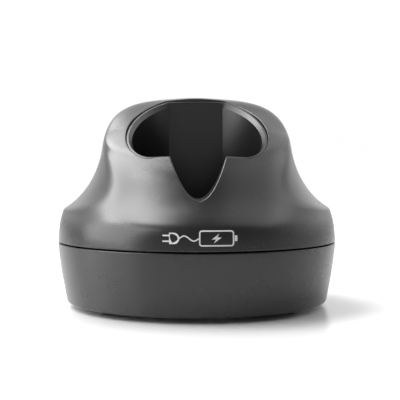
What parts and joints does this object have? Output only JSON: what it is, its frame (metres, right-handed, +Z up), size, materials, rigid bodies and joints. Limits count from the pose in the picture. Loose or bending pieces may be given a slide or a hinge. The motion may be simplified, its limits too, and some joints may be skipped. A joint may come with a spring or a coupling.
{
  "type": "hair clipper charging stand",
  "caption": "Round weighted charging stand with a waisted tower, a slanted well for a clipper's handle, a notched front and two sprung contacts on the well's floor.",
  "frame": {"origin": "on the table, under the middle of the round base", "axes": "+Z up out of the well, -Y towards the front, where the notch is, +X to the right of a person facing the front, +Y towards the socket at the back"},
  "size_m": [0.096, 0.096, 0.0732],
  "materials": {
    "satin_black_plastic": "fine moulded texture with a satin sheen",
    "liner_black_plastic": "smooth satin",
    "black_rubber": "matt, lightly dusty",
    "zinc_steel": "zinc plated",
    "ballast_steel": "punched sheet, passivated",
    "label_foil": "blank silver polyester film",
    "board_laminate": "solder mask over glass laminate",
    "black_nylon": "glass-filled, dull",
    "nickel_plate": "nickel-plated brass, polished",
    "spring_steel": "drawn wire",
    "chip_epoxy": "moulded epoxy",
    "fuse_coating": "glossy dipped coating"
  },
  "bodies": {
    "stand": {"upper_shell": "satin_black_plastic", "well_liner": "liner_black_plastic", "base_shell": "satin_black_plastic", "foot_front_left": "black_rubber", "foot_front_right": "black_rubber", "foot_rear_left": "black_rubber", "foot_rear_right": "black_rubber", "housing_screw_front_left": "zinc_steel", "housing_screw_front_right": "zinc_steel", "housing_screw_rear_left": "zinc_steel", "housing_screw_rear_right": "zinc_steel", "board_screw_front_left": "zinc_steel", "board_screw_front_right": "zinc_steel", "board_screw_rear_left": "zinc_steel", "board_screw_rear_right": "zinc_steel", "liner_screw_left": "zinc_steel", "liner_screw_right": "zinc_steel", "ballast_plate": "ballast_steel", "rating_label": "label_foil", "circuit_board": "board_laminate", "contact_holder": "black_nylon", "contact_spring_left": "spring_steel", "contact_spring_right": "spring_steel", "spring_seat_left": "nickel_plate", "spring_seat_right": "nickel_plate", "dc_jack_body": "black_nylon", "dc_jack_pin": "nickel_plate", "dc_jack_leaf": "nickel_plate", "protection_diode": "chip_epoxy", "resettable_fuse": "fuse_coating"},
    "left_contact": {"contact_pin_left": "nickel_plate"},
    "right_contact": {"contact_pin_right": "nickel_plate"}
  },
  "joints": [
    {"name": "left_contact_press", "type": "slide", "parent": "stand", "child": "left_contact", "axis": [0, 0, -1], "range_m": [0, 0.002], "stiffness_N_per_m": 250, "springref_m": -0.0015, "deforming": ["contact_spring_left"]},
    {"name": "right_contact_press", "type": "slide", "parent": "stand", "child": "right_contact", "axis": [0, 0, -1], "range_m": [0, 0.002], "stiffness_N_per_m": 250, "springref_m": -0.0015, "deforming": ["contact_spring_right"]}
  ]
}
